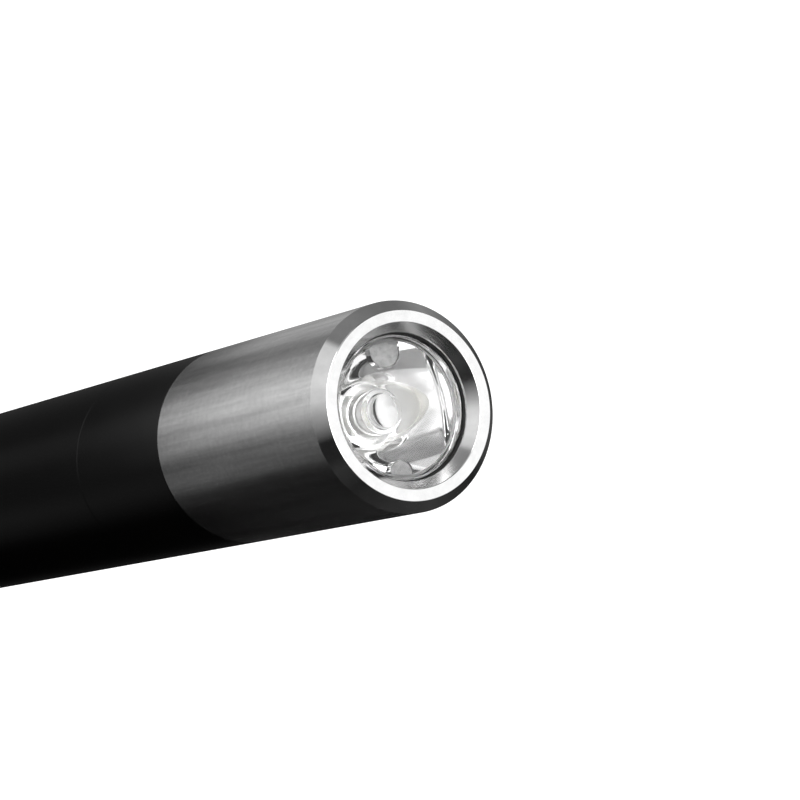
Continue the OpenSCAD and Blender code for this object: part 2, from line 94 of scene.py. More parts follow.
# a glowing wall round the light, seen only by reflections, whose tones are painted reflections and painted
# shade on the metal, in mm and degrees; each row has an angle, a tone half way up, a tone high up and the top
# of the wall; the base, which the dark pieces reflect, has its own angles and tones
surround = {
    "radius": 36,
    "inner": 7.5,
    "low": 1,
    "columns": 241,
    "wallRows": 60,
    "footRows": 12,
    "blend": (94, 106),
    "baseBlend": (64, 70),
    # painted reflection on the dark pieces: a dark wall, a little paler near 142 and 215 degrees, and black
    # from 250 to 310 degrees
    "base": [(10, 0.06), (60, 0.06), (100, 0.04), (125, 0.04), (135, 0.1), (150, 0.1), (165, 0.05),
             (195, 0.05), (215, 0.09), (250, 0.002), (310, 0.002), (370, 0.06)],
    "rows": [
        (10, 0.05, 0.05, 170),
        (20, 0.25, 0.05, 180),
        (50, 0.35, 0.30, 180),
        (65, 0.45, 0.20, 180),
        (80, 0.40, 0.20, 180),
        (100, 0.15, 0.25, 155),
        (120, 0.30, 0.25, 150),
        (125, 0.40, 0.80, 150),
        (140, 0.80, 0.90, 150),
        (155, 0.80, 0.90, 150),
        (170, 0.60, 0.80, 155),
        (180, 0.50, 0.50, 175),
        (195, 0.15, 0.20, 175),
        (205, 0.15, 0.02, 175),
        (220, 0.10, 0.02, 175),
        (230, 0.02, 0.04, 170),
        (250, 0.01, 0.02, 165),
        (310, 0.01, 0.05, 160),
        (340, 0.01, 0.02, 160),
        (360, 0.02, 0.08, 160),
        (370, 0.05, 0.05, 170),
    ],
}
# a dark hood above the front face, faintly glowing and also seen only by reflections: painted shade on the
# bezel
hood = {"radius": 120, "azimuth": (24, 80), "elevation": (36, 72), "steps": 30, "tone": 0.02}


def seenWhite(tree):
    # 1 where a camera, glossy or transmission ray looks, 0 where light is gathered
    lightPath = tree.nodes.new("ShaderNodeLightPath")
    first = tree.nodes.new("ShaderNodeMath")
    first.operation = "MAXIMUM"
    tree.links.new(lightPath.outputs["Is Camera Ray"], first.inputs[0])
    tree.links.new(lightPath.outputs["Is Glossy Ray"], first.inputs[1])
    second = tree.nodes.new("ShaderNodeMath")
    second.operation = "MAXIMUM"
    tree.links.new(first.outputs[0], second.inputs[0])
    tree.links.new(lightPath.outputs["Is Transmission Ray"], second.inputs[1])
    return second.outputs[0]


def buildWorld(settings):
    world = bpy.data.worlds.new("studioWorld")
    world.use_nodes = True
    tree = world.node_tree
    background = tree.nodes["Background"]
    background.inputs["Color"].default_value = (1, 1, 1, 1)
    level = tree.nodes.new("ShaderNodeMapRange")
    level.inputs["To Min"].default_value = settings["worldLevel"]
    level.inputs["To Max"].default_value = 1.0
    tree.links.new(seenWhite(tree), level.inputs["Value"])
    tree.links.new(level.outputs["Result"], background.inputs["Strength"])
    scene.world = world


def buildFloor(settings):
    side = settings["floorSide"]
    mesh = bpy.data.meshes.new("studioFloor")
    corners = np.array([[-1, -1, 0], [1, -1, 0], [1, 1, 0], [-1, 1, 0]]) * side / 2
    mesh.from_pydata(corners.tolist(), [], [(0, 1, 2, 3)])
    floor = bpy.data.objects.new("studioFloor", mesh)
    scene.collection.objects.link(floor)
    material = bpy.data.materials.new("floorPaper")
    material.use_nodes = True
    tree = material.node_tree
    shader = tree.nodes["Principled BSDF"]
    shader.inputs["Base Color"].default_value = settings["floorColour"]
    shader.inputs["Roughness"].default_value = settings["floorRoughness"]
    shader.inputs["Specular IOR Level"].default_value = settings["floorSpecular"]
    shader.inputs["Emission Color"].default_value = (1, 1, 1, 1)
    lift = tree.nodes.new("ShaderNodeMath")
    lift.operation = "MULTIPLY"
    lift.inputs[1].default_value = settings["floorLift"]
    tree.links.new(seenWhite(tree), lift.inputs[0])
    tree.links.new(lift.outputs[0], shader.inputs["Emission Strength"])
    mesh.materials.append(material)


def placeLamp(name, lamp):
    data = bpy.data.lights.new(name, "AREA")
    data.shape = "RECTANGLE"
    data.size, data.size_y = lamp["size"]
    data.energy = lamp["watts"]
    light = bpy.data.objects.new(name, data)
    azimuth, elevation = math.radians(lamp["azimuth"]), math.radians(lamp["elevation"])
    away = Vector((math.cos(azimuth) * math.cos(elevation), math.sin(azimuth) * math.cos(elevation),
                   math.sin(elevation)))
    light.matrix_world = Matrix.Translation(away * lamp["distance"] + Vector((0, 0, faceHeight * mm))) \
        @ away.to_track_quat("Z", "Y").to_matrix().to_4x4()
    light.visible_camera = False
    scene.collection.objects.link(light)


def standPaintedReflection(name, points, tone):
    # a sheet that glows with the given tones, seen only by reflections: painted reflections and painted shade
    mesh = bpy.data.meshes.new(name)
    rows, columns = tone.shape
    faces = gridFaces(rows, columns, False, False).tolist()
    mesh.from_pydata((points.reshape(-1, 3) * mm).tolist(), [], faces)
    mesh.attributes.new("tone", "FLOAT", "POINT").data.foreach_set("value", tone.ravel())
    piece = bpy.data.objects.new(name, mesh)
    scene.collection.objects.link(piece)
    material = bpy.data.materials.new(name)
    material.use_nodes = True
    tree = material.node_tree
    tree.nodes.remove(tree.nodes["Principled BSDF"])
    glow = tree.nodes.new("ShaderNodeEmission")
    paintedTone = tree.nodes.new("ShaderNodeAttribute")
    paintedTone.attribute_name = "tone"
    tree.links.new(paintedTone.outputs["Fac"], glow.inputs["Strength"])
    tree.links.new(glow.outputs[0], tree.nodes["Material Output"].inputs["Surface"])
    mesh.materials.append(material)
    piece.visible_camera = False
    piece.visible_diffuse = False
    piece.visible_shadow = False
    piece.visible_transmission = False


def standSurround(wall):
    # (radius cos a, radius sin a, z), and inwards from its foot to the inner radius;
    # the tone, painted reflection and painted shade, runs evenly between the angles
    rows = np.array(wall["rows"])
    angles = np.linspace(rows[0, 0], rows[-1, 0], wall["columns"])
    lowTone, highTone, top = (np.interp(angles, rows[:, 0], rows[:, column]) for column in (1, 2, 3))
    share = np.linspace(0, 1, wall["wallRows"])[None]
    heights = wall["low"] + (top[:, None] - wall["low"]) * share
    base = np.array(wall["base"])
    baseTone = np.interp(angles, base[:, 0], base[:, 1])
    overBase, overLow = (np.clip((heights - start) / (end - start), 0, 1)
                         for start, end in (wall["baseBlend"], wall["blend"]))
    tone = baseTone[:, None] * (1 - overBase) + lowTone[:, None] * (overBase - overLow)
    tone = tone + highTone[:, None] * overLow
    foot = np.linspace(wall["inner"], wall["radius"], wall["footRows"])[None, :-1] + 0 * angles[:, None]
    reach = np.concatenate([foot, wall["radius"] + 0 * heights], 1)
    heights = np.concatenate([wall["low"] + 0 * foot, heights], 1)
    tone = np.concatenate([baseTone[:, None] + 0 * foot, tone], 1)
    turn = np.radians(angles)[:, None]
    points = np.stack([reach * np.cos(turn), reach * np.sin(turn), heights], -1)
    standPaintedReflection("paintedReflectionWall", points, tone)


def standHood(hood):
    # part of a sphere round the front face, a painted shade in the reflections
    azimuth = np.radians(np.linspace(*hood["azimuth"], hood["steps"]))[:, None]
    rise = np.radians(np.linspace(*hood["elevation"], hood["steps"]))[None]
    points = hood["radius"] * np.stack([np.cos(azimuth) * np.cos(rise), np.sin(azimuth) * np.cos(rise),
                                        np.sin(rise) + 0 * azimuth], -1) + [0, 0, faceHeight]
    standPaintedReflection("paintedShadeHood", points, np.full(points.shape[:2], hood["tone"]))


def gridFaces(rows, columns, closedRows, closedColumns):
    # quads between neighbouring rows and columns of a grid of points
    rowIndex = np.arange(rows if closedRows else rows - 1)
    columnIndex = np.arange(columns if closedColumns else columns - 1)
    row, column = np.meshgrid(rowIndex, columnIndex, indexing="ij")
    nextRow, nextColumn = (row + 1) % rows, (column + 1) % columns
    return np.stack([row * columns + column, row * columns + nextColumn,
                     nextRow * columns + nextColumn, nextRow * columns + column], -1).reshape(-1, 4)


placeCamera(cameraView)
buildWorld(studio)
buildFloor(studio)
for name, lamp in lamps.items():
    placeLamp(name, lamp)
standSurround(surround)
standHood(hood)
print("camera and studio ready")


# helpers for surfaces
def roundedOutline(corners, radius, steps=4, most=0.3, guard=1.5):
    # each corner becomes a short curve (1-t)^2 a + 2t(1-t) p + t^2 b between points a and b on its two sides,
    # at most that share of a side away; one more point on either side, guard times as far, keeps the
    # flats flat under smooth shading, and a radius of 0 keeps the point
    points = np.array(corners, float)
    radius = np.broadcast_to(np.array(radius, float), len(points))
    before, after = np.roll(points, 1, 0) - points, np.roll(points, -1, 0) - points
    lengthBefore, lengthAfter = np.linalg.norm(before, axis=1), np.linalg.norm(after, axis=1)
    reachBefore = np.minimum(radius, lengthBefore * most)[:, None]
    reachAfter = np.minimum(radius, lengthAfter * most)[:, None]
    before, after = before / lengthBefore[:, None], after / lengthAfter[:, None]
    a, b = points + before * reachBefore, points + after * reachAfter
    t = np.linspace(0, 1, steps)[None, :, None]
    curve = (1 - t) ** 2 * a[:, None] + 2 * t * (1 - t) * points[:, None] + t ** 2 * b[:, None]
    guardBefore = (points + before * reachBefore * guard)[:, None]
    guardAfter = (points + after * reachAfter * guard)[:, None]
    outline = np.concatenate([guardBefore, curve, guardAfter], 1).reshape(-1, 2)
    return outline[np.linalg.norm(outline - np.roll(outline, 1, 0), axis=1) > tiny]


def meshObject(name, points, faces, material, smooth=True):
    mesh = bpy.data.meshes.new(name)
    mesh.from_pydata((points * mm).tolist(), [], faces)
    mesh.materials.append(material)
    if smooth:
        mesh.polygons.foreach_set("use_smooth", np.ones(len(mesh.polygons), bool))
    mesh.update()
    piece = bpy.data.objects.new(name, mesh)
    scene.collection.objects.link(piece)
    return piece


def turnedPiece(name, outline, material, segments=256, shape=None):
    # a closed outline of (radius, height) carried round the axis: (r cos a, r sin a, z), with r changed by
    # shape; where the outline starts and ends on the axis, each end is one point with a fan of triangles
    outline = np.array(outline, float)
    area = np.sum(outline[:, 0] * np.roll(outline[:, 1], -1) - np.roll(outline[:, 0], -1) * outline[:, 1])
    if area < 0:
        outline = outline[::-1]
    fromAxis = outline[0, 0] < tiny and outline[-1, 0] < tiny
    rows = outline[1:-1] if fromAxis else outline
    angles = np.arange(segments) * 2 * math.pi / segments
    radius, angle = np.meshgrid(rows[:, 0], angles, indexing="ij")
    height = np.repeat(rows[:, 1][:, None], segments, 1)
    if shape is not None:
        radius = shape(radius, height, angle)
    points = np.stack([radius * np.cos(angle), radius * np.sin(angle), height], -1).reshape(-1, 3)
    faces = gridFaces(len(rows), segments, not fromAxis, True).tolist()
    if fromAxis:
        here, there = np.arange(segments), (np.arange(segments) + 1) % segments
        last = (len(rows) - 1) * segments
        first, final = np.full(segments, len(points)), np.full(segments, len(points) + 1)
        points = np.concatenate([points, [[0, 0, outline[0, 1]], [0, 0, outline[-1, 1]]]])
        faces += np.stack([first, there, here], -1).tolist()
        faces += np.stack([final, last + here, last + there], -1).tolist()
    return meshObject(name, points, faces, material)


def denser(outline, low, high, radius, step):
    # extra points along the straight wall at that radius between two heights
    outline = np.array(outline, float)
    pieces = []
    for here, there in zip(outline, np.roll(outline, -1, 0)):
        pieces.append(here[None])
        onWall = abs(here[0] - radius) < tiny and abs(there[0] - radius) < tiny
        inside = max(min(here[1], there[1]), low) < min(max(here[1], there[1]), high)
        if onWall and inside:
            count = int(abs(there[1] - here[1]) / step)
            share = (np.arange(1, count) / count)[:, None]
            pieces.append(here + (there - here) * share)
    return np.concatenate(pieces)


def threadShape(zones, crest, thread):
    # radius lowered by depth times a smooth V in (height / pitch - angle / turn), faded at the zone's ends
    def shape(radius, height, angle):
        for low, high in zones:
            phase = (height / thread["pitch"] - angle / (2 * math.pi)) % 1
            groove = np.clip(thread["rootFlat"] - np.abs(phase - 0.5) * thread["flank"], 0, 1)
            fade = np.clip((height - low) / thread["fade"], 0, 1) \
                * np.clip((high - height) / thread["fade"], 0, 1)
            onCrest = np.abs(radius - crest) < thread["crestPlay"]
            radius = np.where(onCrest, radius - thread["depth"] * groove * fade, radius)
        return radius
    return shape


# shader groups that several materials share
def startGroup(name, inputs, outputs):
    group = bpy.data.node_groups.new(name, "ShaderNodeTree")
    for label, kind, value in inputs:
        socket = group.interface.new_socket(label, in_out="INPUT", socket_type=kind)
        socket.default_value = value
    for label, kind in outputs:
        group.interface.new_socket(label, in_out="OUTPUT", socket_type=kind)
    return group, group.nodes.new("NodeGroupInput"), group.nodes.new("NodeGroupOutput")


def addNode(tree, kind, options=None, values=None, feeds=None):
    node = tree.nodes.new(kind)
    for key, value in (options or {}).items():
        setattr(node, key, value)
    for key, value in (values or {}).items():
        node.inputs[key].default_value = value
    for key, source in (feeds or {}).items():
        tree.links.new(source, node.inputs[key])
    return node


def calculate(tree, operation, feeds, values=None, clamp=False):
    options = {"operation": operation, "use_clamp": clamp}
    return addNode(tree, "ShaderNodeMath", options, values, feeds).outputs[0]


def mixValues(tree, values, feeds):
    # 0 is the share, 2 and 3 are the two values
    return addNode(tree, "ShaderNodeMix", {"data_type": "FLOAT"}, values, feeds).outputs[0]


def contrasted(group, noise, entry):
    # the noise about its middle, times the contrast
    centred = calculate(group, "SUBTRACT", {0: noise.outputs["Fac"]}, {1: 0.5})
    return calculate(group, "MULTIPLY_ADD", {0: centred, 1: entry.outputs["Contrast"]}, {2: 0.5}, True)


def buildTurnedLines():
    # fine lathe lines: noise that changes fast along radius + height and slowly round the piece
    group, entry, out = startGroup(
        "turnedLines",
        [("Fine", "NodeSocketFloat", 9000.0), ("Round", "NodeSocketFloat", 60.0),
         ("Contrast", "NodeSocketFloat", 1.0)],
        [("Tone", "NodeSocketFloat"), ("Height", "NodeSocketFloat")])
    place = addNode(group, "ShaderNodeTexCoord")
    parts = addNode(group, "ShaderNodeSeparateXYZ", feeds={"Vector": place.outputs["Object"]})
    flat = addNode(group, "ShaderNodeCombineXYZ", feeds={"X": parts.outputs["X"], "Y": parts.outputs["Y"]})
    reach = addNode(group, "ShaderNodeVectorMath", {"operation": "LENGTH"}, feeds={0: flat.outputs[0]})
    along = calculate(group, "ADD", {0: reach.outputs["Value"], 1: parts.outputs["Z"]})
    fine = calculate(group, "MULTIPLY", {0: along, 1: entry.outputs["Fine"]})
    across = calculate(group, "MULTIPLY", {0: parts.outputs["X"], 1: entry.outputs["Round"]})
    over = calculate(group, "MULTIPLY", {0: parts.outputs["Y"], 1: entry.outputs["Round"]})
    vector = addNode(group, "ShaderNodeCombineXYZ", feeds={"X": across, "Y": over, "Z": fine})
    noise = addNode(group, "ShaderNodeTexNoise", values={"Scale": 1.0, "Detail": 3.0, "Roughness": 0.6},
                    feeds={"Vector": vector.outputs[0]})
    group.links.new(contrasted(group, noise, entry), out.inputs["Tone"])
    group.links.new(noise.outputs["Fac"], out.inputs["Height"])
    return group


def buildSurfaceGrain():
    # even fine grain and broad smudges, both from noise on the piece itself
    group, entry, out = startGroup(
        "surfaceGrain",
        [("Grain", "NodeSocketFloat", 6000.0), ("Smudge", "NodeSocketFloat", 250.0),
         ("Contrast", "NodeSocketFloat", 1.0)],
        [("Tone", "NodeSocketFloat"), ("Smear", "NodeSocketFloat"), ("Height", "NodeSocketFloat")])
    place = addNode(group, "ShaderNodeTexCoord")
    fine = addNode(group, "ShaderNodeTexNoise", values={"Detail": 2.0, "Roughness": 0.55},
                   feeds={"Vector": place.outputs["Object"], "Scale": entry.outputs["Grain"]})
    broad = addNode(group, "ShaderNodeTexNoise", values={"Detail": 4.0, "Roughness": 0.6},
                    feeds={"Vector": place.outputs["Object"], "Scale": entry.outputs["Smudge"]})
    for source, label in ((fine, "Tone"), (broad, "Smear")):
        group.links.new(contrasted(group, source, entry), out.inputs[label])
    group.links.new(fine.outputs["Fac"], out.inputs["Height"])
    return group


def buildAboveHeight():
    # 1 above a height on the piece, 0 below it, over a slope of 0.02 mm
    steepness = 50000.0
    group, entry, out = startGroup(
        "aboveHeight", [("Height", "NodeSocketFloat", 0.1)], [("Mask", "NodeSocketFloat")])
    place = addNode(group, "ShaderNodeTexCoord")
    parts = addNode(group, "ShaderNodeSeparateXYZ", feeds={"Vector": place.outputs["Object"]})
    over = calculate(group, "SUBTRACT", {0: parts.outputs["Z"], 1: entry.outputs["Height"]})
    group.links.new(calculate(group, "MULTIPLY", {0: over}, {1: steepness}, True), out.inputs["Mask"])
    return group


def buildAxisDistance():
    # distance from the long axis
    group, entry, out = startGroup("axisDistance", [], [("Distance", "NodeSocketFloat")])
    place = addNode(group, "ShaderNodeTexCoord")
    flat = addNode(group, "ShaderNodeVectorMath", {"operation": "MULTIPLY"}, {1: (1, 1, 0)},
                   {0: place.outputs["Object"]})
    reach = addNode(group, "ShaderNodeVectorMath", {"operation": "LENGTH"}, feeds={0: flat.outputs[0]})
    group.links.new(reach.outputs["Value"], out.inputs["Distance"])
    return group


turnedLines = buildTurnedLines()
surfaceGrain = buildSurfaceGrain()
aboveHeight = buildAboveHeight()
axisDistance = buildAxisDistance()


def startMaterial(name):
    material = bpy.data.materials.new(name)
    material.use_nodes = True
    return material, material.node_tree, material.node_tree.nodes["Principled BSDF"]


def placeGroup(tree, group, values):
    node = tree.nodes.new("ShaderNodeGroup")
    node.node_tree = group
    for key, value in values.items():
        node.inputs[key].default_value = value
    return node


def blendColours(tree, mask, low, high):
    mix = addNode(tree, "ShaderNodeMix", {"data_type": "RGBA"})
    mix.inputs[6].default_value = low + (1,)
    mix.inputs[7].default_value = high + (1,)
    tree.links.new(mask, mix.inputs[0])
    return mix.outputs[2]


def spread(tree, value, low, high):
    node = addNode(tree, "ShaderNodeMapRange", values={"To Min": low, "To Max": high}, feeds={"Value": value})
    return node.outputs["Result"]


def bumped(tree, shader, height, depth):
    bump = addNode(tree, "ShaderNodeBump", values={"Strength": 1.0, "Distance": depth},
                   feeds={"Height": height})
    tree.links.new(bump.outputs["Normal"], shader.inputs["Normal"])


def insideDistance(tree, limit):
    # 1 nearer to the axis than that distance, 0 outside it
    distance = placeGroup(tree, axisDistance, {}).outputs["Distance"]
    return calculate(tree, "LESS_THAN", {0: distance}, {1: limit})


def turnedMetal(name, look):
    material, tree, shader = startMaterial(name)
    lines = placeGroup(tree, turnedLines, {"Fine": look["fine"], "Round": look["round"],
                                           "Contrast": look["contrast"]})
    grain = placeGroup(tree, surfaceGrain, {"Grain": look["grain"], "Smudge": look["smudge"]})
    tone = mixValues(tree, {0: look.get("mottle", 0.0)}, {2: lines.outputs["Tone"], 3: grain.outputs["Tone"]})
    if "streaks" in look:
        # faint streaks along the axis: the same noise, slow along the piece and quick across it
        slow, quick, contrast, share = look["streaks"]
        streaks = placeGroup(tree, turnedLines, {"Fine": slow, "Round": quick, "Contrast": contrast})
        tone = mixValues(tree, {0: share}, {2: tone, 3: streaks.outputs["Tone"]})
    if "polished" in look:
        # the grain is faint inside that distance from the axis
        limit, share = look["polished"]
        faint = calculate(tree, "MULTIPLY", {0: insideDistance(tree, limit)}, {1: share})
        tone = mixValues(tree, {3: 0.5}, {0: faint, 2: tone})
    tree.links.new(blendColours(tree, tone, look["low"], look["high"]), shader.inputs["Base Color"])
    rough = spread(tree, grain.outputs["Smear"], *look["rough"])
    for limit, value in look.get("finer", ()):
        # inside that distance from the axis the turning is finer
        rough = mixValues(tree, {3: value}, {0: insideDistance(tree, limit), 2: rough})
    tree.links.new(rough, shader.inputs["Roughness"])
    shader.inputs["Metallic"].default_value = look.get("metallic", 1.0)
    shader.inputs["Specular IOR Level"].default_value = look.get("specular", 0.5)
    stretch, turn = look.get("anisotropic", (0.0, 0.0))
    shader.inputs["Anisotropic"].default_value = stretch
    shader.inputs["Anisotropic Rotation"].default_value = turn
    if look["depth"] > 0:
        bumped(tree, shader, lines.outputs["Height"], look["depth"])
    return material


def mouldedFinish(name, look):
    material, tree, shader = startMaterial(name)
    grain = placeGroup(tree, surfaceGrain, {"Grain": look["grain"], "Smudge": look["smudge"]})
    colour = blendColours(tree, grain.outputs["Smear"], look["low"], look["high"])
    tree.links.new(colour, shader.inputs["Base Color"])
    tree.links.new(spread(tree, grain.outputs["Tone"], *look["rough"]), shader.inputs["Roughness"])
    shader.inputs["Metallic"].default_value = look.get("metallic", 0.0)
    shader.inputs["Specular IOR Level"].default_value = look.get("specular", 0.5)
    if "bareAbove" in look:
        # the coating ends at that height
        bare = placeGroup(tree, aboveHeight, {"Height": look["bareAbove"]})
        tree.links.new(spread(tree, bare.outputs["Mask"], look["metallic"], 0.0), shader.inputs["Metallic"])
    if look["depth"] > 0:
        bumped(tree, shader, grain.outputs["Height"], look["depth"])
    return material


def domeFinish(name, look):
    # the phosphor's darker round shows through the middle of the dome, with a soft edge between two radii
    material, tree, shader = startMaterial(name)
    grain = placeGroup(tree, surfaceGrain, {"Grain": look["grain"], "Smudge": look["smudge"]})
    distance = placeGroup(tree, axisDistance, {})
    edge = addNode(tree, "ShaderNodeMapRange", {"interpolation_type": "SMOOTHSTEP"},
                   {"From Min": look["middleEdge"][0], "From Max": look["middleEdge"][1]},
                   {"Value": distance.outputs["Distance"]})
    colour = blendColours(tree, edge.outputs["Result"], look["middle"], look["edge"])
    tree.links.new(colour, shader.inputs["Base Color"])
    tree.links.new(spread(tree, grain.outputs["Smear"], *look["rough"]), shader.inputs["Roughness"])
    return material


def clearFinish(name, look):
    # even all over, because any grain in the roughness blurs the picture inside the optic
    material, _, shader = startMaterial(name)
    shader.inputs["Base Color"].default_value = look["colour"] + (1,)
    shader.inputs["Roughness"].default_value = look["rough"]
    shader.inputs["IOR"].default_value = look["ior"]
    shader.inputs["Transmission Weight"].default_value = look["clear"]
    return material


# depths and distances in metres; the two distances are just inside the body and just inside the face ring
metalLooks = {
    "bright_aluminium": {"fine": 9000.0, "round": 90.0, "contrast": 1.6, "grain": 2400.0, "smudge": 300.0,
                         "low": (0.45, 0.45, 0.45), "high": (0.95, 0.95, 0.95), "rough": (0.17, 0.27),
                         "depth": 0, "mottle": 0.8, "polished": (0.00698, 0.75),
                         "streaks": (60.0, 1100.0, 2.5, 0.55), "anisotropic": (0.5, 0.25),
                         "finer": ((0.00698, 0.08), (0.00547, 0.16))},
    "black_anodised": {"fine": 7000.0, "round": 60.0, "contrast": 1.2, "grain": 4000.0, "smudge": 200.0,
                       "low": (0.0003, 0.0003, 0.0003), "high": (0.0008, 0.0008, 0.0008),
                       "rough": (0.22, 0.29), "depth": 0.0000001, "metallic": 0.0, "specular": 0.3},
    "plain_aluminium": {"fine": 4000.0, "round": 60.0, "contrast": 1.4, "grain": 4000.0, "smudge": 200.0,
                        "low": (0.55, 0.55, 0.56), "high": (0.75, 0.75, 0.76), "rough": (0.3, 0.45),
                        "depth": 0.000004},
    "brass_part": {"fine": 5000.0, "round": 60.0, "contrast": 1.2, "grain": 4000.0, "smudge": 300.0,
                   "low": (0.6, 0.42, 0.18), "high": (0.78, 0.58, 0.28), "rough": (0.22, 0.38),
                   "depth": 0.000003},
    "cell_can": {"fine": 3000.0, "round": 40.0, "contrast": 1.0, "grain": 3000.0, "smudge": 200.0,
                 "low": (0.58, 0.57, 0.55), "high": (0.72, 0.71, 0.69), "rough": (0.18, 0.3),
                 "depth": 0.000002},
}
plainLooks = {
    "white_plastic": {"grain": 5000.0, "smudge": 300.0, "low": (0.76, 0.76, 0.75), "high": (0.84, 0.84, 0.83),
                      "rough": (0.4, 0.5), "depth": 0.000002},
    "coated_plastic": {"grain": 5000.0, "smudge": 300.0,
                       "low": (0.93, 0.93, 0.93), "high": (0.96, 0.96, 0.96),
                       "rough": (0.36, 0.4), "depth": 0.0, "metallic": 0.75, "bareAbove": 0.1354},
    "bare_plastic": {"grain": 5000.0, "smudge": 2200.0, "low": (0.02, 0.02, 0.02), "high": (0.6, 0.6, 0.6),
                     "rough": (0.35, 0.5), "depth": 0.000002},
    "dark_rubber": {"grain": 7000.0, "smudge": 500.0,
                    "low": (0.008, 0.008, 0.008), "high": (0.02, 0.02, 0.02),
                    "rough": (0.55, 0.75), "depth": 0.000006, "specular": 0.15},
    "white_ceramic": {"grain": 8000.0, "smudge": 600.0, "low": (0.78, 0.78, 0.76), "high": (0.86, 0.86, 0.84),
                      "rough": (0.3, 0.45), "depth": 0.000002},
    "white_board": {"grain": 4000.0, "smudge": 500.0, "low": (0.88, 0.88, 0.87), "high": (0.94, 0.94, 0.93),
                    "rough": (0.2, 0.22), "depth": 0.00000005, "metallic": 1.0},
    "green_board": {"grain": 5000.0, "smudge": 900.0, "low": (0.015, 0.1, 0.04), "high": (0.025, 0.16, 0.06),
                    "rough": (0.25, 0.4), "depth": 0.000004},
    "black_chip": {"grain": 9000.0, "smudge": 900.0, "low": (0.02, 0.02, 0.02), "high": (0.04, 0.04, 0.04),
                   "rough": (0.45, 0.65), "depth": 0.000003},
    "gold_spring": {"grain": 6000.0, "smudge": 800.0, "low": (0.75, 0.53, 0.2), "high": (0.88, 0.66, 0.3),
                    "rough": (0.18, 0.3), "depth": 0.000001, "metallic": 1.0},
    "steel_spring": {"grain": 6000.0, "smudge": 800.0, "low": (0.5, 0.5, 0.51), "high": (0.66, 0.66, 0.67),
                     "rough": (0.2, 0.32), "depth": 0.000001, "metallic": 1.0},
    "red_wire": {"grain": 5000.0, "smudge": 600.0, "low": (0.42, 0.02, 0.015), "high": (0.55, 0.03, 0.02),
                 "rough": (0.35, 0.5), "depth": 0.000002},
    "cell_jacket": {"grain": 4000.0, "smudge": 150.0, "low": (0.1, 0.12, 0.14), "high": (0.14, 0.16, 0.19),
                    "rough": (0.2, 0.3), "depth": 0.000001},
    "clip_steel": {"grain": 5000.0, "smudge": 200.0, "low": (0.5, 0.5, 0.51), "high": (0.68, 0.68, 0.69),
                   "rough": (0.2, 0.34), "depth": 0.000002, "metallic": 1.0},
    "black_plastic": {"grain": 6000.0, "smudge": 400.0,
                      "low": (0.015, 0.015, 0.015), "high": (0.03, 0.03, 0.03),
                      "rough": (0.4, 0.6), "depth": 0.000004},
    "black_rubber_button": {"grain": 5000.0, "smudge": 500.0,
                            "low": (0.014, 0.014, 0.014), "high": (0.03, 0.03, 0.03),
                            "rough": (0.6, 0.8), "depth": 0.00001, "specular": 0.3},
}
finishes = {name: turnedMetal(name, look) for name, look in metalLooks.items()}
finishes.update({name: mouldedFinish(name, look) for name, look in plainLooks.items()})
finishes["led_dome"] = domeFinish("led_dome", {
    "grain": 6000.0, "smudge": 900.0, "middle": (0.85, 0.84, 0.78), "edge": (0.96, 0.96, 0.93),
    "middleEdge": (0.00064, 0.00096),
    "rough": (0.12, 0.2)})
finishes["clear_optic"] = clearFinish("clear_optic", {
    "colour": (1, 1, 1), "rough": 0.0, "ior": 1.49, "clear": 1.0})

for row in frame["record"]["subparts"]:
    mesh = nodes[row["node"]].data
    mesh.materials.clear()
    mesh.materials.append(finishes[row["material_slot"]])
print("materials ready:", len(finishes))


# visible pieces
def dress(piece, body, slot, *replaced):
    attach(piece, body)
    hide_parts(*replaced)
    return piece


bezelSizes = {"length": 22, "skirt": 6.2, "body": 7.0, "chamfer": (0.735, 0.8), "ring": 5.48, "lip": 4.9,
              "countersink": 0.75, "lipEdge": 0.25, "pocket": 5.45, "shoulder": 12.5, "seam": 0.05,
              "edge": 0.03, "segments": 320}


def buildBezel(size):
    top, low = faceHeight, faceHeight - size["length"]
    wide, deep = size["chamfer"]
    lipLow = top - size["countersink"] - size["lipEdge"]
    corners = [(size["skirt"], low), (size["body"] - size["seam"], low), (size["body"], low + size["seam"]),
               (size["body"], top - deep), (size["body"] - wide, top), (size["ring"], top),
               (size["lip"], top - size["countersink"]), (size["lip"], lipLow), (size["pocket"], lipLow),
               (size["pocket"], top - size["shoulder"]), (size["skirt"], top - size["shoulder"])]
    outline = roundedOutline(corners, size["edge"])
    return dress(turnedPiece("headBezel", outline, finishes["bright_aluminium"], size["segments"]),
                 "barrel", "bright_aluminium", "head_bezel")


def tongueShapes(tongue, play, low, high):
    # two U-shaped blocks from the wall inwards, facing each other: a half circle at the inner end,
    # straight sides out to the flange
    arc = np.radians(np.linspace(90, 270, tongue["arcPoints"]))
    count = len(arc) + 2
    here, there = np.arange(count), (np.arange(count) + 1) % count
    walls = np.stack([here, there, there + count, here + count], -1)
    points, faces = [], []
    for side, (width, end) in enumerate(zip(tongue["width"], tongue["end"])):
        half = width / 2 + play
        centre = end - play + half
        root = np.array([[tongue["reach"] + 3 * play, half]])
        innerEnd = np.stack([centre + half * np.cos(arc), half * np.sin(arc)], -1)
        outline = np.concatenate([root, innerEnd, root * [1, -1]])
        around = math.radians(180 * side + tongue["turn"])
        cosine, sine = math.cos(around), math.sin(around)
        flat = outline @ np.array([[cosine, sine], [-sine, cosine]])
        first = len(points) * count
        points += [np.column_stack([flat, np.full(count, level)]) for level in (low, high)]
        faces += (walls + first).tolist()
        faces += [(here[::-1] + first).tolist(), (here + first + count).tolist()]
    return np.concatenate(points), faces


